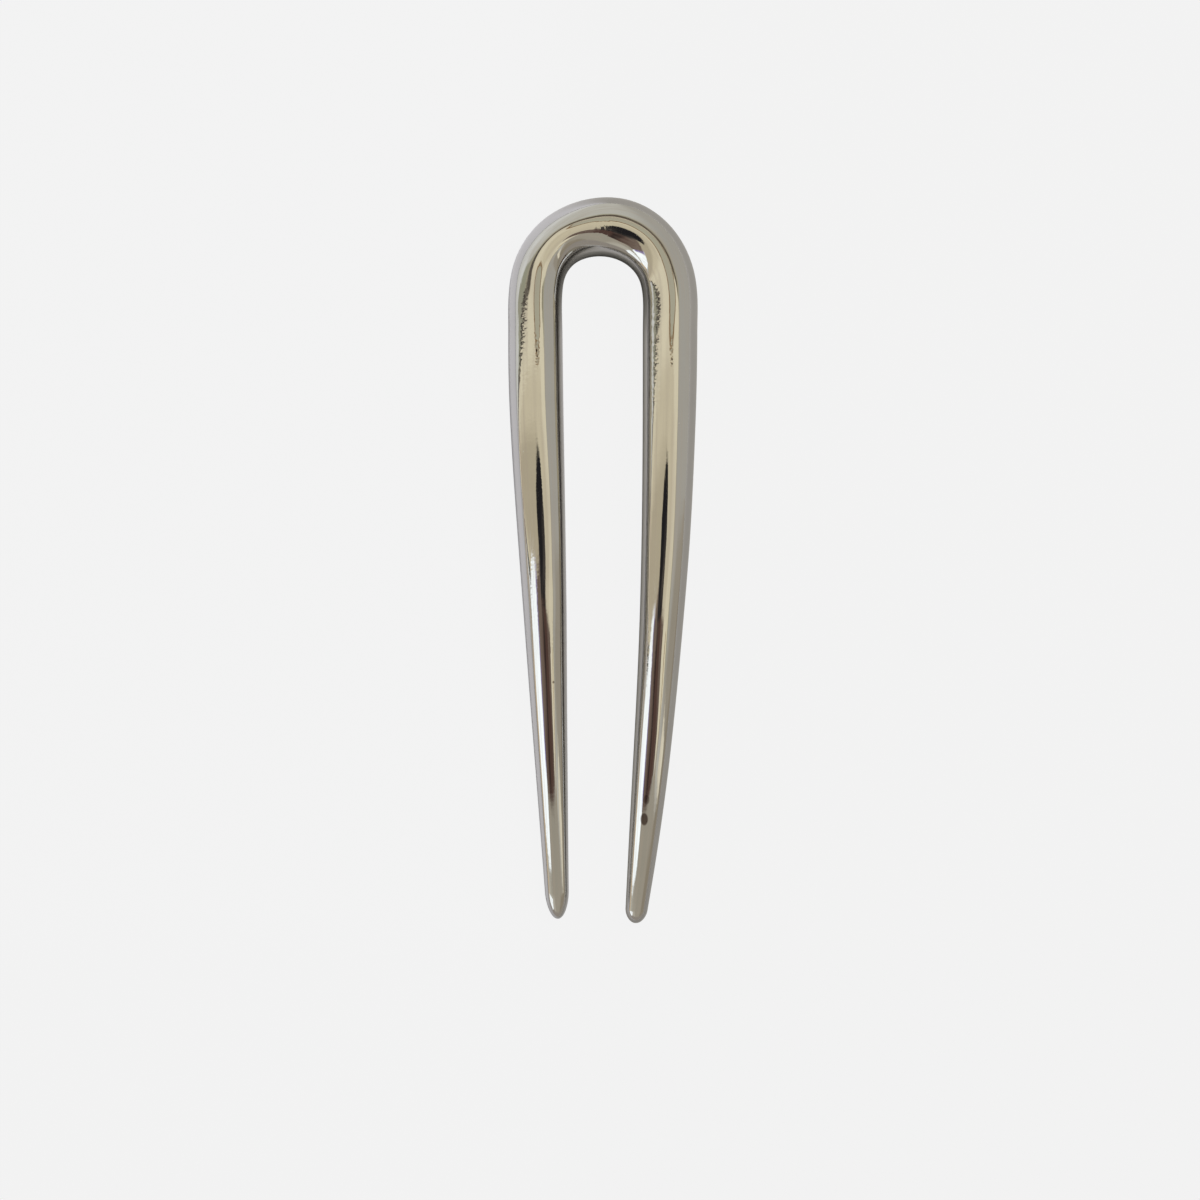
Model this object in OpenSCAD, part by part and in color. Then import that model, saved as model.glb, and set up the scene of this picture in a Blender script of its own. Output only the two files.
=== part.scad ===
// Hair pin: one round metal rod, bent into a U and tapered towards two rounded tips.
// It lies flat on a surface, with the underside of both legs on it all along. X runs across
// the legs, Y from the tips to the crown, and Z up from the surface. The origin is the middle
// of the footprint. Millimetres.

/* [Overall] */
// Length from the longer tip to the top of the crown
pin_length = 100; // [85:1:120]
// Distance between the centre lines of the legs where they leave the crown
leg_spacing = 18.5; // [17:0.1:24]
// How much shorter the left leg is than the right one
left_leg_short = 0.6; // [0:0.1:3]

/* [Rod] */
// Thickness of the rod where the legs leave the crown
rod_thickness = 7.5; // [5:0.1:7.5]
// Height of the rod's section over its width
section_height = 1; // [0.8:0.05:1]

/* [Tips] */
// Length over which the left tip rounds off
left_tip_round = 3.9; // [2:0.1:5]
// Length over which the right tip rounds off
right_tip_round = 2; // [1.6:0.1:5]

/* [Smoothness] */
// Sides of the rod's section
rod_sides = 28; // [16:4:36]
// Distance between the rings of the rod along the legs
ring_step = 2; // [2:0.5:5]

/* [Hidden] */

crown_steps = 18;
tip_steps = 6;

// The pin is finished by hand, so the two sides aren't quite alike. Each row holds rounded
// sizes taken across the rod at its own place. Both tables are read smoothly between their
// rows, which are evenly spaced, and their end rows run on into each other where the legs
// leave the crown. Thickness is a share of rod_thickness, and the other columns are
// millimetres.

// Round the crown, from the right leg to the left one: how far the centre line stands out
// from a half circle.
OUT = 1;
CROWN_SHARE = 2;
crown_table = [
    // angle, out, share
    [0,     0,     1.00],
    [20,    0,     1.00],
    [40,    0.1,   1.01],
    [60,    0.25,  1.08],
    [80,    0.2,   1.07],
    [100,   0.2,   1.02],
    [120,   0.3,   0.98],
    [140,   0.5,   0.95],
    [160,   0,     0.97],
    [180,   0,     0.98],
];

// Down the legs, from the crown to the tips: how far each centre line leans inwards.
LEAN = [1, 2];
LEG_SHARE = [3, 4];
leg_table = [
    // down, lean left, lean right, share left, share right
    [0.000,   0,         0,          0.98,       1.00],
    [0.125,   0,         0,          1.01,       1.00],
    [0.250,   0.35,      0.2,        0.96,       0.95],
    [0.375,   0.8,       0.5,        0.88,       0.90],
    [0.500,   1.3,       1.05,       0.80,       0.81],
    [0.625,   1.7,       1.75,       0.70,       0.74],
    [0.750,   2.15,      2.6,        0.60,       0.67],
    [0.875,   2.6,       3.6,        0.50,       0.55],
    [1.000,   3.05,      4.75,       0.41,       0.38],
];

// The cubic B-spline at share f of the way between the middle two of four values.
function blend(a, b, c, d, f) =
    (pow(1 - f, 3) * a + (3 * pow(f, 3) - 6 * f * f + 4) * b
     + (-3 * pow(f, 3) + 3 * f * f + 3 * f + 1) * c + pow(f, 3) * d) / 6;

// A list with one more value at each end, in line with the last two there.
function extended(v) =
    let (last = len(v) - 1)
    concat([2 * v[0] - v[1]], v, [2 * v[last] - v[last - 1]]);

// A column of a table, read smoothly at this share of the way from its first row to its last.
function read(table, column, share) =
    let (steps = len(table) - 1)
    let (v = extended([for (row = table) row[column]]))
    let (i = min(floor(share * steps), steps - 1))
    blend(v[i], v[i + 1], v[i + 2], v[i + 3], share * steps - i);

// A section of the rod: its centre, at half the rod's height above the surface, and its
// thickness, of which the tips leave only a share.
THICK = 3;
function section(x, y, thickness, left_over = 1) =
    [x, y, section_height * thickness / 2, thickness * left_over];

function crown_section(angle) =
    let (radius = leg_spacing / 2 + read(crown_table, OUT, angle / 180))
    section(
        radius * cos(angle),
        radius * sin(angle),
        rod_thickness * read(crown_table, CROWN_SHARE, angle / 180)
    );
crown_sections = [for (i = [0:crown_steps]) crown_section(180 - 180 * i / crown_steps)];
crown_top = max([for (s = crown_sections) s.y + s[THICK] / 2]);

// Each leg's facts, by its number.
LEFT = 0;
RIGHT = 1;
side_of = [-1, 1];
leg_length = [pin_length - crown_top - left_leg_short, pin_length - crown_top];
tip_round = [left_tip_round, right_tip_round];

// How much of the thickness is left this far down the leg, where the tip rounds off.
function tip_share(leg, down) =
    let (into = 1 - (1 - down) * leg_length[leg] / tip_round[leg])
    into <= 0 ? 1 : sqrt(max(0, 1 - into * into));

function leg_section(leg, down) =
    section(
        side_of[leg] * (leg_spacing / 2 - read(leg_table, LEAN[leg], down)),
        -down * leg_length[leg],
        rod_thickness * read(leg_table, LEG_SHARE[leg], down),
        tip_share(leg, down)
    );

// From the crown down to the very tip. The crown has the first section of its own.
function leg_sections(leg) =
    let (body = 1 - tip_round[leg] / leg_length[leg])
    let (steps = ceil(body * leg_length[leg] / ring_step))
    concat(
        [for (i = [1:steps]) leg_section(leg, body * i / steps)],
        [for (i = [1:tip_steps]) leg_section(leg, body + (1 - body) * sin(90 * i / tip_steps))]
    );

function reversed(v) = [for (i = [len(v) - 1:-1:0]) v[i]];

// All the sections, from the left tip over the crown to the right tip.
sections = concat(reversed(leg_sections(LEFT)), crown_sections, leg_sections(RIGHT));
last = len(sections) - 1;

// A ring of points round section i, upright and square to the way that the rod runs there.
function centre(i) = [for (axis = [0:2]) sections[i][axis]];
function ring(i) =
    let (along = centre(i + 1) - centre(i - 1))
    let (across = [-along.y, along.x, 0] / norm([along.x, along.y]))
    let (half = sections[i][THICK] / 2)
    [for (j = [0:rod_sides - 1])
        let (turn = 360 * j / rod_sides)
        centre(i) + half * (cos(turn) * across + [0, 0, section_height * sin(turn)])];

rod_points = concat([centre(0)], [for (i = [1:last - 1]) each ring(i)], [centre(last)]);

// Point j of ring i, where ring 1 is the first one after the left tip's own point.
function at(i, j) = 1 + (i - 1) * rod_sides + j % rod_sides;
rod_faces = concat(
    [for (j = [0:rod_sides - 1]) [0, at(1, j + 1), at(1, j)]],
    [for (i = [1:last - 2]) for (j = [0:rod_sides - 1])
        each [[at(i, j), at(i, j + 1), at(i + 1, j + 1)], [at(i, j), at(i + 1, j + 1), at(i + 1, j)]]],
    [for (j = [0:rod_sides - 1]) [len(rod_points) - 1, at(last - 1, j), at(last - 1, j + 1)]]
);

lowest = [for (axis = [0:2]) min([for (p = rod_points) p[axis]])];
highest = [for (axis = [0:2]) max([for (p = rod_points) p[axis]])];
footprint_middle = [(lowest.x + highest.x) / 2, (lowest.y + highest.y) / 2, lowest.z];

// The whole pin, cast in one piece and plated.
module pin() {
    color([0.76, 0.74, 0.68])
    polyhedron(points = [for (p = rod_points) p - footprint_middle], faces = rod_faces, convexity = 4);
}

pin();
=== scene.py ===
# %% [markdown]
# # A polished metal hair pin
# The real pin is one thick metal rod, bent into a U and ground down to two slim tips. It is
# plated and polished until it works like a mirror, so nearly all that the eye sees on it is
# the room round it. The lesson therefore has three parts: a very smooth rod, a plating that
# is not quite perfect, and a small studio for it to reflect.
#
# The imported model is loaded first. It says where the pin lies and how large it may be.

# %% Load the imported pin
import math

import bpy
from mathutils import Matrix, Vector


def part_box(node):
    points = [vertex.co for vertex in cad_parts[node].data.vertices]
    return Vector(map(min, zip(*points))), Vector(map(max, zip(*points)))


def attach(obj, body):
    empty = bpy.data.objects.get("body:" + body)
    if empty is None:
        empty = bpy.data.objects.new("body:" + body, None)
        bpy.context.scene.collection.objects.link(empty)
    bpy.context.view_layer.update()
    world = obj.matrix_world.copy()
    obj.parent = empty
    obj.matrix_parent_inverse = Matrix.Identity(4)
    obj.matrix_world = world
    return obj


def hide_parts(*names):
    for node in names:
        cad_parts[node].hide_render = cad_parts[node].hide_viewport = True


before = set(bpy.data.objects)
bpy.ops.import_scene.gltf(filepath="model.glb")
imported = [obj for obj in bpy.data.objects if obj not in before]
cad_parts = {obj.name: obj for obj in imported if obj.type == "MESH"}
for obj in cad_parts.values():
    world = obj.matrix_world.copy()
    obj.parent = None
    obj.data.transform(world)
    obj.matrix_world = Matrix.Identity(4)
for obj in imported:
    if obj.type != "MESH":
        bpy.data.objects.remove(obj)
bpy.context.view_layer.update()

MM = 0.001

pin_low, pin_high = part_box("pin")
print("packed pin, in millimetres:", [round(v / MM, 2) for v in (*pin_low, *pin_high)])

# %% [markdown]
# ## Nodes written as sums
# Geometry and materials are both made of nodes below. A node for each plus and times would
# hide what is worked out, so a small class wraps an output socket: a sum that is written
# with it adds the Math nodes by itself. Every other node comes from `Graph.node`, which
# takes the kind of node, its settings and what goes into its sockets. Four kinds that come
# up again and again have a short name: a smooth step, a mix of two colours, a sum of vectors
# and noise.


# %% Sockets that can be added and multiplied
class Wire:
    """An output socket of a node. A sum that is written with it adds Math nodes."""

    def __init__(self, graph, socket):
        self.graph = graph
        self.socket = socket

    def math(self, operation, *others):
        """One Math node that takes this socket and the others."""
        values = dict(enumerate((self, *others)))
        return self.graph.wire("ShaderNodeMath", {"operation": operation}, values)

    def after(self, operation, first):
        """The same, with this socket in second place."""
        values = {0: first, 1: self}
        return self.graph.wire("ShaderNodeMath", {"operation": operation}, values)

    def __add__(self, other):
        return self.math("ADD", other)

    def __radd__(self, other):
        return self.math("ADD", other)

    def __sub__(self, other):
        return self.math("SUBTRACT", other)

    def __rsub__(self, other):
        return self.after("SUBTRACT", other)

    def __mul__(self, other):
        return self.math("MULTIPLY", other)

    def __rmul__(self, other):
        return self.math("MULTIPLY", other)

    def __truediv__(self, other):
        return self.math("DIVIDE", other)

    def __rtruediv__(self, other):
        return self.after("DIVIDE", other)

    def __pow__(self, other):
        return self.math("POWER", other)


class Graph:
    """A node tree, emptied, to which nodes are added by their kind."""

    def __init__(self, tree):
        self.tree = tree
        tree.nodes.clear()

    def node(self, kind, settings=None, values=None):
        """A new node with its settings, and the values or wires that go into its sockets."""
        node = self.tree.nodes.new(kind)
        for name, setting in (settings or {}).items():
            setattr(node, name, setting)
        for name, value in (values or {}).items():
            if isinstance(value, Wire):
                self.tree.links.new(value.socket, node.inputs[name])
            else:
                node.inputs[name].default_value = value
        return node

    def wire(self, kind, settings=None, values=None, output=0):
        """The same, of which one output is given back."""
        return Wire(self, self.node(kind, settings, values).outputs[output])

    def between(self, value, low, high):
        """0 below low, 1 above high, and smooth in between."""
        return self.wire(
            "ShaderNodeMapRange",
            {"interpolation_type": "SMOOTHSTEP"},
            {"Value": value, "From Min": low, "From Max": high},
        )

    def mixed(self, share, first, second):
        """The first colour where the share is 0, and the second where it is 1."""
        # The Mix node has sockets for each kind of data, so those for colours go by number
        return self.wire(
            "ShaderNodeMix", {"data_type": "RGBA"}, {0: share, 6: first, 7: second}, output=2
        )

    def vector(self, operation, *values, output=0):
        """One Vector Math node that takes these values."""
        settings = {"operation": operation}
        return self.wire("ShaderNodeVectorMath", settings, dict(enumerate(values)), output)

    def noise(self, lump_size, detail, place=None):
        """Noise from 0 to 1, with lumps of about this size and, as detail, finer ones."""
        values = {"Scale": 1 / lump_size, "Detail": detail}
        if place is not None:
            values["Vector"] = place
        return self.wire("ShaderNodeTexNoise", {"noise_dimensions": "3D"}, values)


# %% [markdown]
# ## The run of the rod
# The pin was finished by hand, so its two legs are not quite alike. Two short tables hold
# that. One goes round the crown and says how far the rod's centre line stands out from a
# half circle. The other goes down the legs and says how far each leg leans inwards. Both
# also say how thick the rod is, as a share of its full thickness. The rows are read through
# a cubic B-spline, because a mirror shows every kink: a curve through straight pieces would
# break the reflections at each joint, while this spline keeps even its bend continuous.

# %% The two tables, and how they are read
PIN_LENGTH = 100 * MM
LEG_SPACING = 18.5 * MM
LEFT_LEG_SHORT = 0.6 * MM
ROD_THICKNESS = 7.5 * MM
POINT_STEP = 0.5 * MM

# A row for each 20 degrees from the right leg to the left one: how far the centre line
# stands out (mm), and the share of thickness
OUT, CROWN_SHARE = range(2)
CROWN_ROWS = [
    (0, 1.00),
    (0, 1.00),
    (0.1, 1.01),
    (0.25, 1.08),
    (0.2, 1.07),
    (0.2, 1.02),
    (0.3, 0.98),
    (0.5, 0.95),
    (0, 0.97),
    (0, 0.98),
]
# A row for each eighth of the way down: how far each leg leans inwards (mm), and its share
LEFT_LEAN, LEFT_SHARE, RIGHT_LEAN, RIGHT_SHARE = range(4)
LEG_ROWS = [
    (0, 0.98, 0, 1.00),
    (0, 1.01, 0, 1.00),
    (0.35, 0.96, 0.2, 0.95),
    (0.8, 0.88, 0.5, 0.90),
    (1.3, 0.80, 1.05, 0.81),
    (1.7, 0.70, 1.75, 0.74),
    (2.15, 0.60, 2.6, 0.67),
    (2.6, 0.50, 3.6, 0.55),
    (3.05, 0.41, 4.75, 0.38),
]


def weight(steps):
    """How much a row this many steps away counts, in a cubic B-spline."""
    steps = abs(steps)
    return (max(2 - steps, 0) ** 3 - 4 * max(1 - steps, 0) ** 3) / 6


def read_smoothly(rows, column, share):
    """A column at this share of the way from the first row to the last."""
    values = [row[column] for row in rows]
    values = [2 * values[0] - values[1], *values, 2 * values[-1] - values[-2]]
    place = share * (len(rows) - 1)
    return sum(value * weight(place + 1 - i) for i, value in enumerate(values))


def crown_point(angle):
    """Where the centre line is at this angle round the crown, and the share of thickness."""
    radius = LEG_SPACING / 2 + read_smoothly(CROWN_ROWS, OUT, angle / 180) * MM
    turn = math.radians(angle)
    share = read_smoothly(CROWN_ROWS, CROWN_SHARE, angle / 180)
    return radius * math.cos(turn), radius * math.sin(turn), share


crown_top = max(
    y + share * ROD_THICKNESS / 2 for _, y, share in (crown_point(a) for a in range(181))
)
# For each leg: its side of the middle, its length, and the table's columns for it
LEGS = {
    "left": (-1, PIN_LENGTH - crown_top - LEFT_LEG_SHORT, LEFT_LEAN, LEFT_SHARE),
    "right": (1, PIN_LENGTH - crown_top, RIGHT_LEAN, RIGHT_SHARE),
}


def leg_points(leg):
    """The points of a leg's centre line, from just below the crown to the tip."""
    side, length, lean_column, share_column = LEGS[leg]
    steps = math.ceil(length / POINT_STEP)
    points = []
    for step in range(1, steps + 1):
        down = step / steps
        lean = read_smoothly(LEG_ROWS, lean_column, down) * MM
        share = read_smoothly(LEG_ROWS, share_column, down)
        points.append((side * (LEG_SPACING / 2 - lean), -down * length, share))
    return points


CROWN_STEPS = 60
crown_angles = [180 - 180 * step / CROWN_STEPS for step in range(CROWN_STEPS + 1)]
crown_points = [crown_point(angle) for angle in crown_angles]
left_points = leg_points("left")[::-1]
right_points = leg_points("right")
path_points = left_points + crown_points + right_points
print("points on the centre line:", len(path_points))

# %% [markdown]
# A half circle that runs straight into a line starts its bend all at once, and in a mirror
# the reflections turn a corner there. So each point moves to the mean of its neighbours.
# That alone would also pull the whole crown inwards. A second round shows by how much, and
# this is given back.

# %% Ease the bend where the legs leave the crown
NEIGHBOURS = 7


def averaged(points):
    """Each point moved to the mean of those near it, as many before it as after it."""
    means = []
    for i in range(len(points)):
        reach = min(NEIGHBOURS, i, len(points) - 1 - i)
        near = points[i - reach : i + reach + 1]
        means.append([sum(values) / len(near) for values in zip(*near)])
    return means


once = averaged(path_points)
eased_points = [
    tuple(2 * first - second for first, second in zip(*pair))
    for pair in zip(once, averaged(once))
]
moves = [math.dist(old[:2], new[:2]) for old, new in zip(path_points, eased_points)]
print("easing moves the centre line by up to", round(max(moves) / MM, 3), "mm")

# %% [markdown]
# The section isn't quite a circle either. The pin was filed and polished by hand, which took
# some metal away in one place and left some standing in another. A short list names those
# places, each a smooth hump or hollow. On a dull pin they would hardly show, but here the
# reflections sit where they do because of them.
#
# A place is told by degrees round the crown, from 0 where the right leg starts to 180 where
# the left leg starts. Below 0 and above 180 it is on a leg, where a degree counts as much
# length as it does on the crown.

# %% Where the rod is filed away and where it stands proud
# Degrees round the crown, and degrees round the section from its top, where inwards is less
# than 0. Then how far it reaches both ways, and how proud it stands (mm).
FILED = [
    ("filed right side", 66, -15, 62, 62, -0.4),
    ("ridge over it", 58, -6, 45, 34, 0.1),
    ("proud left side", 122, 0, 56, 64, 0.55),
    ("right shoulder", -10, 15, 45, 30, 0.07),
    ("right leg's inner side", -290, -20, 110, 45, 0.12),
    ("right leg's outer side", -480, 25, 80, 50, 0.1),
    ("left leg's dent", 440, -18, 45, 28, -0.05),
    ("left leg's inner side", 370, -48, 120, 62, 0.18),
]
# Length of leg that counts as a degree
LEG_PER_DEGREE = LEG_SPACING / 2 * math.radians(1)

around = (
    [180 - y / LEG_PER_DEGREE for _, y, _ in left_points]
    + crown_angles
    + [y / LEG_PER_DEGREE for _, y, _ in right_points]
)
print("places round the crown go from", round(max(around)), "to", round(min(around)))

# %% [markdown]
# ## From a line to a rod
# The points become a line of mesh edges. A mesh can carry a number of one's own with each
# point, which a plain curve can't, and Geometry Nodes read those numbers while they sweep
# the rod along the line. Drawing the rings by hand in mesh code would work too, but here
# every size stays a named input that can be turned while looking.
#
# The rings crowd together towards the tips, where the shape turns fastest, and each tip
# rounds off along a quarter of an ellipse. Last, the whole skin gets a waviness of a few
# thousandths of a millimetre. No eye would see it on a dull rod, but it bends the
# reflections in a polished one.

# %% A line that carries its share of thickness and its place round the crown
path_mesh = bpy.data.meshes.new("pin_path")
path_mesh.from_pydata(
    [(x, y, 0) for x, y, _ in eased_points],
    [(i, i + 1) for i in range(len(eased_points) - 1)],
    [],
)
carried = {"share": [share for _, _, share in eased_points], "around": around}
for name, values in carried.items():
    path_mesh.attributes.new(name, "FLOAT", "POINT").data.foreach_set("value", values)
path_object = bpy.data.objects.new("pin_path", path_mesh)
bpy.context.scene.collection.objects.link(path_object)
print("the path carries:", ", ".join(carried))

# %% The sizes that the sweep takes as named inputs
SWEEP_INPUTS = {
    "Rod Thickness": ("NodeSocketFloat", ROD_THICKNESS),
    "Left Tip Rounding": ("NodeSocketFloat", 3.9 * MM),
    "Right Tip Rounding": ("NodeSocketFloat", 2.0 * MM),
    "Rings": ("NodeSocketInt", 1400),
    "Sides": ("NodeSocketInt", 64),
    "Crowding": ("NodeSocketFloat", 0.9),
    "Waviness": ("NodeSocketFloat", 0.004 * MM),
    "Wave Length": ("NodeSocketFloat", 3.5 * MM),
    "Material": ("NodeSocketMaterial", None),
}
print("inputs:", ", ".join(SWEEP_INPUTS))

# %% [markdown]
# The sweep has three steps, and each is a function here. The first makes a row of points,
# one for each ring. Every point reads on the path where it belongs and how thick the rod is
# there. It keeps all that before it moves, because moving changes its share of the row.


# %% First step: the rings' points
def rounding(distance, tip_length):
    """How much of the thickness a tip leaves, this far from its very end."""
    into = (1 - distance / tip_length).math("MAXIMUM", 0)
    return (1 - into * into).math("MAXIMUM", 0).math("SQRT")


def ring_points(sweep, size):
    """A point for each ring, and all that it keeps about its place on the path."""
    path = sweep.wire(
        "GeometryNodeCurveSplineType",
        {"spline_type": "CATMULL_ROM"},
        {"Curve": sweep.wire("GeometryNodeMeshToCurve", values={"Mesh": size["Geometry"]})},
    )
    row = sweep.wire(
        "GeometryNodeResampleCurve",
        {"mode": "COUNT"},
        {"Curve": sweep.wire("GeometryNodeCurvePrimitiveLine"), "Count": size["Rings"]},
    )
    row_share = sweep.wire("GeometryNodeSplineParameter")
    crowding = size["Crowding"] * (row_share * math.tau).math("SINE") / math.tau
    length = sweep.wire("GeometryNodeCurveLength", values={"Curve": path})
    along = length * (row_share - crowding)

    def read_path(name):
        """A node that reads, at each ring's place, the path's course and this attribute."""
        value = sweep.wire("GeometryNodeInputNamedAttribute", values={"Name": name})
        return sweep.node(
            "GeometryNodeSampleCurve",
            {"mode": "LENGTH", "use_all_curves": True},
            {"Curves": path, "Value": value, "Length": along},
        )

    at_ring = read_path("share")
    share, centre, tangent = (
        Wire(sweep, at_ring.outputs[name]) for name in ("Value", "Position", "Tangent")
    )
    tips = rounding(along, size["Left Tip Rounding"]) * rounding(
        length - along, size["Right Tip Rounding"]
    )
    facts = {
        "Centre": ("VECTOR", centre),
        "Outward": ("VECTOR", sweep.vector("CROSS_PRODUCT", (0, 0, 1), tangent)),
        "Half": ("FLOAT", share * size["Rod Thickness"] / 2),
        "Tips": ("FLOAT", tips),
        "Around": ("FLOAT", Wire(sweep, read_path("around").outputs["Value"])),
    }
    keep = sweep.node("GeometryNodeCaptureAttribute", values={"Geometry": row})
    for name, (kind, value) in facts.items():
        keep.capture_items.new(kind, name)
        sweep.tree.links.new(value.socket, keep.inputs[name])
    return {name: Wire(sweep, keep.outputs[name]) for name in ("Geometry", *facts)}


# %% [markdown]
# The second step carries a circle along those points, as thick as the rod is at each place.


# %% Second step: the bare rod
def moved(geometry, **values):
    """The geometry with its points moved, by an Offset or to a Position."""
    values["Geometry"] = geometry
    return geometry.graph.wire("GeometryNodeSetPosition", values=values)


def bare_rod(sweep, size, kept):
    """A rod with round sections that all have their centres on the path."""
    placed = moved(kept["Geometry"], Position=kept["Centre"])
    upright = sweep.wire("GeometryNodeSetCurveNormal", {"mode": "Z_UP"}, {"Curve": placed})
    circle = sweep.wire(
        "GeometryNodeCurvePrimitiveCircle",
        {"mode": "RADIUS"},
        {"Resolution": size["Sides"], "Radius": 1.0},
    )
    radius = kept["Half"] * kept["Tips"]
    return sweep.wire(
        "GeometryNodeCurveToMesh",
        values={"Curve": upright, "Profile Curve": circle, "Scale": radius},
    )


# %% [markdown]
# The third step works on the skin. It moves out or in at the filed places, always square to
# the run of the rod. Then the rod is lifted by half its own thickness, so that its underside
# lies flat on the surface, the tips are closed, and the waviness is added.

# %% Third step: the skin
SAME_POINT = 0.001 * MM


def hump(wire, middle, reach):
    """1 in the middle, 0 where its reach ends, and smooth in between."""
    steps = (wire - middle) / reach
    return (1 - steps * steps).math("MAXIMUM", 0) ** 3


def scaled(direction, amount):
    """A direction made longer or shorter."""
    values = {0: direction, "Scale": amount}
    return direction.graph.wire("ShaderNodeVectorMath", {"operation": "SCALE"}, values)


def finished_skin(sweep, size, kept, rod):
    """The rod with its filed places and its waviness, lying on the surface."""
    place = sweep.wire("GeometryNodeInputPosition")
    ray = sweep.vector("NORMALIZE", sweep.vector("SUBTRACT", place, kept["Centre"]))
    aside = sweep.vector("DOT_PRODUCT", ray, kept["Outward"], output="Value")
    above = sweep.vector("DOT_PRODUCT", ray, (0, 0, 1), output="Value")
    angle = aside.math("ARCTAN2", above) * math.degrees(1)
    swell = sum(
        hump(kept["Around"], round_crown, crown_reach)
        * hump(angle, round_section, section_reach)
        * (proud * MM)
        for _, round_crown, round_section, crown_reach, section_reach, proud in FILED
    )
    swollen = moved(rod, Offset=scaled(ray, swell))
    upwards = sweep.wire("ShaderNodeCombineXYZ", values={"Z": kept["Half"]})
    lifted = moved(swollen, Offset=upwards)
    closed = sweep.wire(
        "GeometryNodeMergeByDistance", values={"Geometry": lifted, "Distance": SAME_POINT}
    )
    from_minus_1_to_1 = (sweep.noise(size["Wave Length"], 1.0) - 0.5) * 2
    swing = from_minus_1_to_1 * size["Waviness"]
    wave = scaled(sweep.wire("GeometryNodeInputNormal"), swing)
    return sweep.wire(
        "GeometryNodeSetShadeSmooth", values={"Geometry": moved(closed, Offset=wave)}
    )


# %% The three steps in one node group
def make_sweep():
    """The node group that turns the path into the rod."""
    tree = bpy.data.node_groups.new("swept_rod", "GeometryNodeTree")
    sweep = Graph(tree)
    tree.interface.new_socket("Geometry", in_out="INPUT", socket_type="NodeSocketGeometry")
    tree.interface.new_socket("Geometry", in_out="OUTPUT", socket_type="NodeSocketGeometry")
    for name, (kind, _) in SWEEP_INPUTS.items():
        tree.interface.new_socket(name, in_out="INPUT", socket_type=kind)
    group = sweep.node("NodeGroupInput")
    size = {socket.name: Wire(sweep, socket) for socket in group.outputs if socket.name}
    kept = ring_points(sweep, size)
    skin = finished_skin(sweep, size, kept, bare_rod(sweep, size, kept))
    plain = sweep.wire("GeometryNodeRealizeInstances", values={"Geometry": skin})
    dressed = sweep.wire(
        "GeometryNodeSetMaterial",
        values={"Geometry": plain, "Material": size["Material"]},
    )
    sweep.node("NodeGroupOutput", values={"Geometry": dressed})
    return tree


sweep_tree = make_sweep()
print("the sweep:", len(sweep_tree.nodes), "nodes")

# %% [markdown]
# ## The plating
# The finish is a thin plating of a pale nickel tone, polished by hand. A perfectly clean
# mirror would look like computer chrome. The real one has a fine orange peel from casting
# and polishing, a few pin pricks, hairlines from use, and places where the polish is a
# little less deep. Each is a noise of its own size. They only tilt the surface and change
# the gloss a trifle, since a polished metal has hardly any colour pattern of its own.
#
# Two short lists add what sits at one place only. Where the polishing wheel didn't reach,
# the rough skin of the casting is left under the plating, and it tears the reflections to
# ragged edges. A few dark stains are the only spots with a colour of their own, and a dark
# reflection on the right leg is painted into the colour beside them.

# %% The plating's colours, the sizes of its marks, and where they are
PLATING_COLOUR = (0.585, 0.575, 0.555)
CLOUDED_COLOUR = tuple(0.97 * part for part in PLATING_COLOUR)
# Dark colour of the stains and of the reflection painted on the right leg
STAIN_AND_REFLECTION_COLOUR = (0.10, 0.07, 0.06)

# Lumps of the noises, the cells of the pin pricks, and a hairline's width, length and depth
PEEL_SIZE = 0.45 * MM
RIPPLE_SIZE = 1.6 * MM
GRAIN_SIZE = 0.65 * MM
CLOUD_SIZE = 6 * MM
PRICK_CELL = 1.5 * MM
HAIRLINE_SIZE = (0.12 * MM, 5 * MM, 0.5 * MM)
HAIRLINE_TURNS = (12, -35)

# Each of these fades in between two values: of a noise, of a cell's chance, or of an oval
CLOUD_SHOWS = (0.35, 0.7)
HAIRLINE_SHOWS = (0.68, 0.74)
CELL_IS_PRICKED = (0.80, 0.82)
STAIN_AND_REFLECTION_SHOWS = (0.1, 0.6)
# A pin prick fades out between two distances from its middle, as shares of its cell
PRICK_RIM = (0.03, 0.07)

# How high each stands in this unit, and how much it adds to the roughness of the polish
HEIGHT_UNIT = 0.001 * MM
HEIGHTS = {"peel": 1.2, "ripple": 5, "cast skin": 40, "pin pricks": -6, "hairlines": -0.12}
POLISH = 0.035
DULLING = {"cloud": 0.03, "hairlines": 0.05, "pin pricks": 0.2}

# Where the cast skin was never polished away: middle across and along the pin, how far it
# reaches both ways (mm), and how rough it is
CAST_SKIN = [
    ("left shoulder", -10.6, 30, 0.9, 9, 1.0),
    ("left shoulder's top", -9, 29, 0.8, 3.5, 0.8),
    ("left leg's start", -9.4, 22, 1.6, 7, 0.25),
    ("right shoulder's inside", 7.1, 29, 1.0, 11, 1.0),
    ("right shoulder's top", 9.3, 27.5, 0.6, 2.5, 0.8),
    ("crown's middle", 0, 45, 1.2, 1.2, 0.7),
    ("left leg's top", -8.4, 11, 0.9, 4, 0.25),
    ("left leg's outside", -9.2, -4, 1.0, 7, 0.3),
    ("left leg's inside", -6.7, -10, 0.7, 3, 0.35),
    ("right leg's inside", 6.4, -14.5, 0.9, 7, 0.3),
]
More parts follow.
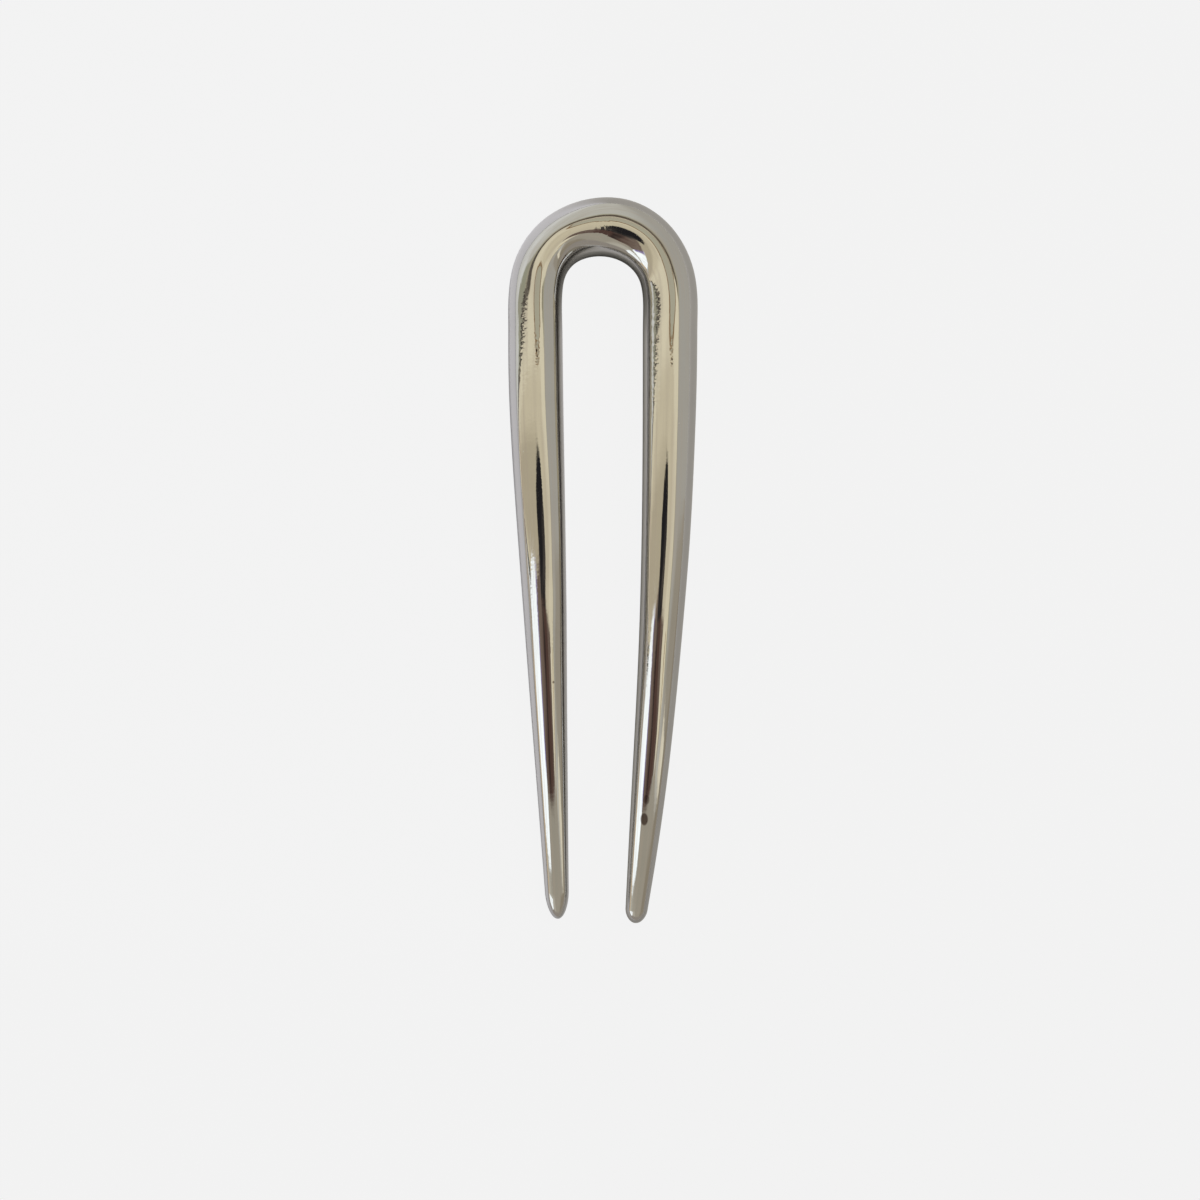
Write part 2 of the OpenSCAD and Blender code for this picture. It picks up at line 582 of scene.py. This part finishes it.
# Small dark stains, and a dark reflection painted on the right leg: middle across and along
# the pin, how far each reaches both ways (mm), and how much it covers
STAINS_AND_PAINTED_REFLECTION = [
    ("painted reflection on the right leg", 5.65, -35.1, 0.62, 1.05, 0.9),
    ("painted reflection above it", 5.95, -32.4, 0.5, 0.8, 0.5),
    ("left dot", -8.95, 28.5, 0.14, 0.3, 1.0),
    ("left lower dot", -8.85, 27.7, 0.12, 0.16, 1.0),
    ("right dot", 9.3, 27.3, 0.13, 0.2, 1.0),
    ("right lower dot", 9.3, 26.7, 0.13, 0.16, 1.0),
    ("speck on the left leg", -6.75, -16.3, 0.18, 0.22, 0.7),
]
print("on the plating:", len(CAST_SKIN), "rough places and", len(STAINS_AND_PAINTED_REFLECTION), "stains")


# %% The plating's material
def new_material(name):
    """A new material, and the graph for its nodes."""
    material = bpy.data.materials.new(name)
    material.use_nodes = True
    return material, Graph(material.node_tree)


def place_on(graph):
    """The place on the piece, and how far across and along it is in millimetres."""
    place = graph.wire("ShaderNodeTexCoord", output="Object")
    split = graph.node("ShaderNodeSeparateXYZ", values={0: place})
    x, y = (Wire(graph, split.outputs[axis]) / MM for axis in ("X", "Y"))
    return place, x, y


def make_plating():
    """The plating, its marks from casting, polishing and use, and a painted reflection."""
    plating, finish = new_material("plating")
    place, x, y = place_on(finish)

    def oval(middle_x, middle_y, reach_x, reach_y):
        """1 in the middle of an oval, falling to 0 at its rim."""
        aside = (x - middle_x) / reach_x
        along = (y - middle_y) / reach_y
        return (1 - aside * aside - along * along).math("MAXIMUM", 0)

    def hairlines(turn):
        """Noise that is drawn out along one direction, of which only the peaks are left."""
        drawn_out = finish.wire(
            "ShaderNodeMapping",
            values={
                "Vector": place,
                "Rotation": (0, 0, math.radians(turn)),
                "Scale": tuple(1 / size for size in HAIRLINE_SIZE),
            },
        )
        return finish.between(finish.noise(1.0, 0.0, drawn_out), *HAIRLINE_SHOWS)

    # Pin pricks are small round dents in a few of the cells that a Voronoi pattern makes
    cells = finish.node(
        "ShaderNodeTexVoronoi",
        {"feature": "F1"},
        {"Vector": place, "Scale": 1 / PRICK_CELL},
    )
    from_middle = Wire(finish, cells.outputs["Distance"])
    cell_colour = Wire(finish, cells.outputs["Color"])
    chance = finish.wire("ShaderNodeSeparateColor", values={0: cell_colour})
    few_cells = finish.between(chance, *CELL_IS_PRICKED)
    dent = 1 - finish.between(from_middle, *PRICK_RIM)

    cast_skin = sum(
        oval(*place_and_reach) * rough for _, *place_and_reach, rough in CAST_SKIN
    )
    # The stains, and the dark reflection painted on the right leg, darken the base colour
    stains_and_reflection = sum(
        finish.between(oval(*place_and_reach), *STAIN_AND_REFLECTION_SHOWS) * cover
        for _, *place_and_reach, cover in STAINS_AND_PAINTED_REFLECTION
    )
    features = {
        "peel": finish.noise(PEEL_SIZE, 1.0, place),
        "ripple": finish.noise(RIPPLE_SIZE, 1.0, place),
        "cast skin": cast_skin * finish.noise(GRAIN_SIZE, 2.0, place),
        "pin pricks": few_cells * dent,
        "hairlines": sum(hairlines(turn) for turn in HAIRLINE_TURNS),
        "cloud": finish.noise(CLOUD_SIZE, 3.0, place),
    }
    height = sum(features[name] * amount for name, amount in HEIGHTS.items())
    roughness = POLISH + sum(features[name] * amount for name, amount in DULLING.items())
    clouded = finish.mixed(
        finish.between(features["cloud"], *CLOUD_SHOWS),
        (*PLATING_COLOUR, 1),
        (*CLOUDED_COLOUR, 1),
    )
    tilted = finish.wire(
        "ShaderNodeBump",
        values={"Strength": 1.0, "Distance": HEIGHT_UNIT, "Height": height},
    )
    metal = finish.wire(
        "ShaderNodeBsdfPrincipled",
        values={
            "Base Color": finish.mixed(stains_and_reflection, clouded, (*STAIN_AND_REFLECTION_COLOUR, 1)),
            "Metallic": 1.0,
            "Roughness": roughness,
            "Normal": tilted,
        },
    )
    finish.node("ShaderNodeOutputMaterial", values={"Surface": metal})
    return plating


plating = make_plating()
print("plating:", len(plating.node_tree.nodes), "nodes")

# %% [markdown]
# ## The finished rod
# The modifier gets its inputs by the sockets' identifiers before Blender works the shape
# out for the first time. The result is copied into a plain mesh, because only a plain mesh
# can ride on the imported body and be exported. It is moved so that its middle is the middle
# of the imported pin, and its underside lies at height nothing.

# %% Sweep, copy, place
modifier = path_object.modifiers.new("sweep", "NODES")
modifier.node_group = sweep_tree
identifiers = {item.name: item.identifier for item in sweep_tree.interface.items_tree}
for name, (_, value) in SWEEP_INPUTS.items():
    modifier[identifiers[name]] = plating if name == "Material" else value

evaluated = path_object.evaluated_get(bpy.context.evaluated_depsgraph_get())
pin_mesh = bpy.data.meshes.new_from_object(evaluated)
pin_mesh.name = "polished_pin"
path_object.modifiers.remove(modifier)
bpy.data.objects.remove(path_object)

xs, ys, _ = zip(*(vertex.co for vertex in pin_mesh.vertices))
shift = Vector(
    (
        (pin_low[0] + pin_high[0] - min(xs) - max(xs)) / 2,
        (pin_low[1] + pin_high[1] - min(ys) - max(ys)) / 2,
        0,
    )
)
pin_mesh.transform(Matrix.Translation(shift))
polished_pin = bpy.data.objects.new("polished_pin", pin_mesh)
bpy.context.scene.collection.objects.link(polished_pin)
print("polished pin:", len(pin_mesh.vertices), "points,", len(pin_mesh.polygons), "faces")

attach(polished_pin, "root")
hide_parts("pin")

# %% [markdown]
# ## The studio
# A mirror has no look of its own: it takes its streaks and bands from what is round it. So
# the studio is built from what a photographer would use, and the metal does the rest. There
# is a pale table, a low warm ceiling over it with panels on it, and a lamp. The ceiling is
# seen only in the metal, not by the camera or by the table.
#
# Tones are written as they show in the metal, from 0 to 255. The light that a panel must
# give for that is the tone as linear light, over what the plating reflects.

# %% Tones and cards
WHITE = 243
CREAM = (205, 196, 170)
STUDIO_HALF_WIDTH = 4.0


def linear(level):
    """The linear light of a level from 0 to 255, by the sRGB standard."""
    level = level / 255
    return level / 12.92 if level <= 0.04045 else ((level + 0.055) / 1.055) ** 2.4


def light_for(tone):
    """The light to give for this tone to show in the plating."""
    return (*(linear(t) / p for t, p in zip(tone, PLATING_COLOUR)), 1)


white_light = (*[linear(WHITE)] * 3, 1)
print("the table's white gives", round(linear(WHITE), 3), "of full light")


def flat_card(name, height):
    """A square card that lies level at this height and fills the studio."""
    half = STUDIO_HALF_WIDTH
    corners = [(x * half, y * half, height) for x, y in ((-1, -1), (1, -1), (1, 1), (-1, 1))]
    mesh = bpy.data.meshes.new(name)
    mesh.from_pydata(corners, [], [(0, 1, 2, 3)])
    card = bpy.data.objects.new(name, mesh)
    bpy.context.scene.collection.objects.link(card)
    return card


# %% [markdown]
# The table is lit from below as well, like the light tables that product photographers use,
# so that the camera sees next to no shadow on it. In the metal the table still shows the
# shade that the pin casts. Its colour carries painted shade too: darker to the right, and
# darker still close below the crown and in front of the tips, which keeps the rims there
# from glowing.

# %% The table
# The paper's own colour, then colours of painted shade: to the right, below the crown,
# before the tips
PALE_PAPER = (0.87, 0.86, 0.90, 1)
PAINTED_RIGHT_SHADE = (0.50, 0.48, 0.45, 1)
SHADED_PAPER = (0.32, 0.31, 0.29, 1)
LIGHT_FROM_BELOW = 0.985
FRONT_SHADE = 0.45

# Where each painted shade on the paper starts and ends, in millimetres across or along
# the pin
PAINTED_SHADE_TO_THE_RIGHT = (-14, 3)
GAP_RIM = (3, 7)
CROWN_SHADE_STARTS = (31, 38)
CROWN_SHADE_ENDS = (42, 47)
TIPS_SHADE_ENDS = (-58, -46)


def make_table():
    """The table that the pin lies on."""
    table = flat_card("table", 0)
    material, graph = new_material("table")
    _, x, y = place_on(graph)
    # Painted shade on the paper: in the gap below the crown, in front of the tips, and to
    # the right
    in_gap = 1 - graph.between(x.math("ABSOLUTE"), *GAP_RIM)
    along_crown = graph.between(y, *CROWN_SHADE_STARTS) * (
        1 - graph.between(y, *CROWN_SHADE_ENDS)
    )
    in_front = 1 - graph.between(y, *TIPS_SHADE_ENDS)
    shaded = along_crown * in_gap + in_front * FRONT_SHADE
    paper_with_right_shade = graph.mixed(graph.between(x, *PAINTED_SHADE_TO_THE_RIGHT), PALE_PAPER, PAINTED_RIGHT_SHADE)
    paper = graph.wire(
        "ShaderNodeBsdfPrincipled",
        values={
            "Base Color": graph.mixed(shaded, paper_with_right_shade, SHADED_PAPER),
            "Roughness": 1.0,
            "Specular IOR Level": 0.0,
        },
    )
    glow = graph.wire("ShaderNodeEmission", values={"Color": white_light, "Strength": 1.0})
    seen = graph.wire("ShaderNodeLightPath", output="Is Camera Ray")
    both = graph.wire(
        "ShaderNodeMixShader", values={0: seen * LIGHT_FROM_BELOW, 1: paper, 2: glow}
    )
    graph.node("ShaderNodeOutputMaterial", values={"Surface": both})
    table.data.materials.append(material)
    return table


table = make_table()
print("table:", 2 * STUDIO_HALF_WIDTH, "m square")

# %% [markdown]
# Each panel on the ceiling is a convex outline with a tone. How far a point lies inside is
# the least of its distances to the outline's edges, so one Minimum for each edge gives a
# mask, and the next panel is laid over the last with it. In the list, the wide soft tones
# come first and the small sharp ones last.

# %% The ceiling's panels
CEILING_HEIGHT = 120 * MM
BACK = (180, 178, 168)
FAR = 4000
# Name, tone, softness of the edge (mm), and the corners (mm) anticlockwise from above
PANELS = [
    # Wide tones at the back and the sides
    ("back left", (201, 201, 196), 260,
     [(-FAR, FAR), (-FAR, -200), (-170, -200), (-170, FAR)]),
    ("far left", (192, 192, 186), 800,
     [(-FAR, -FAR), (-600, -FAR), (-600, FAR), (-FAR, FAR)]),
    ("grey side", (156, 153, 144), 120,
     [(FAR, -900), (FAR, FAR), (420, FAR), (30, 60), (30, -40)]),
    ("low side", (142, 135, 121), 40,
     [(100, -45), (1500, -700), (FAR, -700), (FAR, 0), (180, -10)]),
    # In front of the tips
    ("front", (147, 141, 127), 6,
     [(-FAR, -FAR), (FAR, -FAR), (FAR, -1640), (60, -64), (-FAR, -64)]),
    ("left front", (170, 166, 153), 50,
     [(-FAR, -280), (-60, -280), (-60, -115), (-FAR, -115)]),
    ("right front", (128, 120, 104), 40,
     [(60, -FAR), (FAR, -FAR), (FAR, -110), (90, -110)]),
    ("deep front", (132, 126, 118), 100,
     [(-FAR, -FAR), (FAR, -FAR), (FAR, -280), (-FAR, -280)]),
    # The dark line that runs round the crown: a dark hill with a cream one over it
    ("corner", (142, 141, 122), 8,
     [(-520, 130), (-520, 40), (-60, 60), (-60, 85), (-174, 126), (-311, 152), (-450, 148)]),
    ("haze", (150, 145, 122), 14,
     [(-160, -40), (100, -40), (82, 82), (50, 102), (0, 111), (-50, 104), (-160, 78)]),
    ("dark hill", (66, 57, 47), 4,
     [(-130, -40), (80, -40), (66, 79), (50, 91), (30, 99), (0, 102), (-30, 98), (-60, 88),
      (-100, 76), (-130, 60)]),
    ("dark left", (36, 34, 31), 4,
     [(-FAR, -40), (-60, -40), (-60, 86), (-FAR, 90)]),
    ("cream hill", CREAM, 5,
     [(-130, -30), (40, -64), (90, -46), (87, 20), (84, 56), (52, 75), (30, 82), (0, 84),
      (-30, 81), (-60, 72), (-100, 60), (-130, 45)]),
    ("cream left", CREAM, 5,
     [(-FAR, -30), (-40, -30), (-40, 69), (-60, 69), (-FAR, 62)]),
    # Paler and darker parts of the cream
    ("pale", (211, 205, 186), 10,
     [(-300, 50), (30, 50), (70, 62), (48, 74), (0, 80), (-60, 71), (-300, 45)]),
    ("middle", (190, 180, 154), 16,
     [(-900, -20), (50, -20), (40, 46), (-900, 30)]),
    ("tan", (168, 158, 134), 16,
     [(-900, -20), (20, -20), (-10, 22), (-900, 20)]),
    # Thin lines along the lower legs
    ("strip", (208, 200, 178), 8,
     [(118, -78), (300, -142), (330, -118), (150, -60)]),
    ("ochre line", (140, 116, 80), 3,
     [(62, -70), (68, -70), (78, -30), (72, -30)]),
    ("far line", (160, 140, 124), 50,
     [(-1000, -500), (-700, -500), (-700, 60), (-1000, 60)]),
    # The white window and its coloured edges
    ("warm edge", (196, 178, 146), 60,
     [(-760, -420), (-400, -420), (-400, -80), (-760, -150)]),
    ("window", (250, 255, 255), 5,
     [(-100, -94), (-80, -62), (-80, -14), (-160, -16), (-340, -46), (-430, -75),
      (-430, -165), (-330, -146), (-200, -119)]),
    ("window's lower part", (250, 255, 255), 8,
     [(-600, -420), (-300, -400), (-170, -260), (-120, -140), (-200, -150), (-330, -180),
      (-520, -230)]),
    ("window edge", (112, 100, 165), 9,
     [(-101, -70), (-76, -66), (-76, -16), (-97, -16)]),
    # The dark middle, straight over the pin
    ("brown", (76, 57, 50), 6,
     [(-85, -72), (42, -64), (44, -24), (-40, -10), (-85, -20)]),
    ("dark streak", (50, 39, 36), 8,
     [(-34, -66), (-16, -66), (-12, -22), (-30, -22)]),
    ("black", (30, 29, 30), 3,
     [(-36, -20), (16, -20), (11, 2), (8, 12), (2, 18), (-12, 19), (-28, 15), (-44, 4)]),
    # A small grey hook with a brown rim, inside the cream hill
    ("hook's rim", (120, 92, 60), 2,
     [(-16, 79), (-16, 60), (-6, 50), (6, 46), (20, 45), (32, 49), (40, 60), (41, 78)]),
    ("hook", (162, 158, 138), 2,
     [(-11, 78), (-11, 62), (-3, 54), (7, 50), (20, 49), (29, 53), (35, 62), (36, 77)]),
]
print("panels:", len(PANELS), "with", sum(len(corners) for *_, corners in PANELS), "corners")

# %% The ceiling
BLOTCH_TONE = (160, 148, 132)
BLOTCH_SIZE = 45 * MM
BLOTCH_SHOWS = (0.4, 0.7)
BLOTCH_STRENGTH = 0.35
# Kinds of rays that pass the ceiling by, so that only the metal sees it
CEILING_HIDDEN_FROM = ("camera", "diffuse", "transmission", "volume_scatter", "shadow")


def inside_of(x, y, corners):
    """How far a point lies inside a convex outline, in millimetres."""
    inside = None
    for (x0, y0), (x1, y1) in zip(corners, corners[1:] + corners[:1]):
        length = math.hypot(x1 - x0, y1 - y0)
        inwards_x, inwards_y = (y0 - y1) / length, (x1 - x0) / length
        distance = x * inwards_x + y * inwards_y - (x0 * inwards_x + y0 * inwards_y)
        inside = inside.math("MINIMUM", distance) if inside else distance
    return inside


def make_ceiling():
    """The low ceiling with its panels, which shines on nothing but is seen in the metal."""
    ceiling = flat_card("ceiling", CEILING_HEIGHT)
    material, graph = new_material("ceiling")
    place, x, y = place_on(graph)
    colour = light_for(BACK)
    for _, tone, softness, corners in PANELS:
        mask = graph.between(inside_of(x, y, corners), -softness / 2, softness / 2)
        colour = graph.mixed(mask, colour, light_for(tone))

    # Soft blotches, so that the wide tones aren't flat
    blotches = graph.between(graph.noise(BLOTCH_SIZE, 3.0, place), *BLOTCH_SHOWS)
    colour = graph.mixed(blotches * BLOTCH_STRENGTH, colour, light_for(BLOTCH_TONE))
    glow = graph.wire(
        "ShaderNodeBsdfPrincipled",
        values={
            "Base Color": (0, 0, 0, 1),
            "Specular IOR Level": 0.0,
            "Emission Color": colour,
            "Emission Strength": 1.0,
        },
    )
    graph.node("ShaderNodeOutputMaterial", values={"Surface": glow})
    ceiling.data.materials.append(material)
    for ray in CEILING_HIDDEN_FROM:
        setattr(ceiling, "visible_" + ray, False)
    return ceiling


ceiling = make_ceiling()
print("ceiling:", len(ceiling.active_material.node_tree.nodes), "nodes")

# %% [markdown]
# Past the ceiling's rim the world shows. The camera sees it as white as the table. The table
# gets an even, soft light from it. A lamp behind the crown, on the right, makes the shade
# beside the legs and below the crown, and painted shade on the table deepens it there.

# %% The world and the lamp
AMBIENT = 0.45
ROOM_TONE = (165, 163, 158)
LAMP_POWER = 2.2
LAMP_SIZE = 0.3
LAMP_PLACE = (0.3, 0.25, 0.42)

world = bpy.data.worlds.new("studio")
bpy.context.scene.world = world
world.use_nodes = True
room = Graph(world.node_tree)
seen = room.wire("ShaderNodeLightPath", output="Is Camera Ray")
mirrored = room.wire("ShaderNodeLightPath", output="Is Glossy Ray")


def backdrop(colour):
    """A world that has this colour all over."""
    return room.wire("ShaderNodeBackground", values={"Color": colour, "Strength": 1.0})


soft_light = backdrop((*[AMBIENT] * 3, 1))
in_metal = backdrop(light_for(ROOM_TONE))
behind_pin = backdrop(white_light)
unseen = room.wire("ShaderNodeMixShader", values={0: mirrored, 1: soft_light, 2: in_metal})
sky = room.wire("ShaderNodeMixShader", values={0: seen, 1: unseen, 2: behind_pin})
room.node("ShaderNodeOutputWorld", values={"Surface": sky})

lamp_data = bpy.data.lights.new("side_light", "AREA")
lamp_data.shape = "DISK"
lamp_data.size = LAMP_SIZE
lamp_data.energy = LAMP_POWER
lamp = bpy.data.objects.new("side_light", lamp_data)
lamp.location = LAMP_PLACE
lamp.rotation_euler = (-lamp.location).to_track_quat("-Z", "Y").to_euler()
lamp.visible_glossy = False
bpy.context.scene.collection.objects.link(lamp)
print("lamp:", round(lamp.location.length, 2), "m from the pin")

# %% [markdown]
# ## The camera
# The photograph looks straight down on the pin from close by, so the camera hangs 19 cm
# over the table. The plain Standard view keeps the tones as they are written above.

# %% The camera
FOCAL_PIXELS = 1356
IMAGE_PIXELS = 1200
CAMERA_PLACE = (-0.4 * MM, -5.1 * MM, 190 * MM)
NEAREST_SEEN = 10 * MM

camera_data = bpy.data.cameras.new("camera")
camera_data.sensor_fit = "HORIZONTAL"
camera_data.angle = 2 * math.atan(IMAGE_PIXELS / 2 / FOCAL_PIXELS)
camera_data.clip_start = NEAREST_SEEN
camera = bpy.data.objects.new("camera", camera_data)
camera.location = CAMERA_PLACE
bpy.context.scene.collection.objects.link(camera)
bpy.context.scene.camera = camera
bpy.context.scene.view_settings.view_transform = "Standard"
print("the camera sees", round(math.degrees(camera_data.angle), 1), "degrees across")
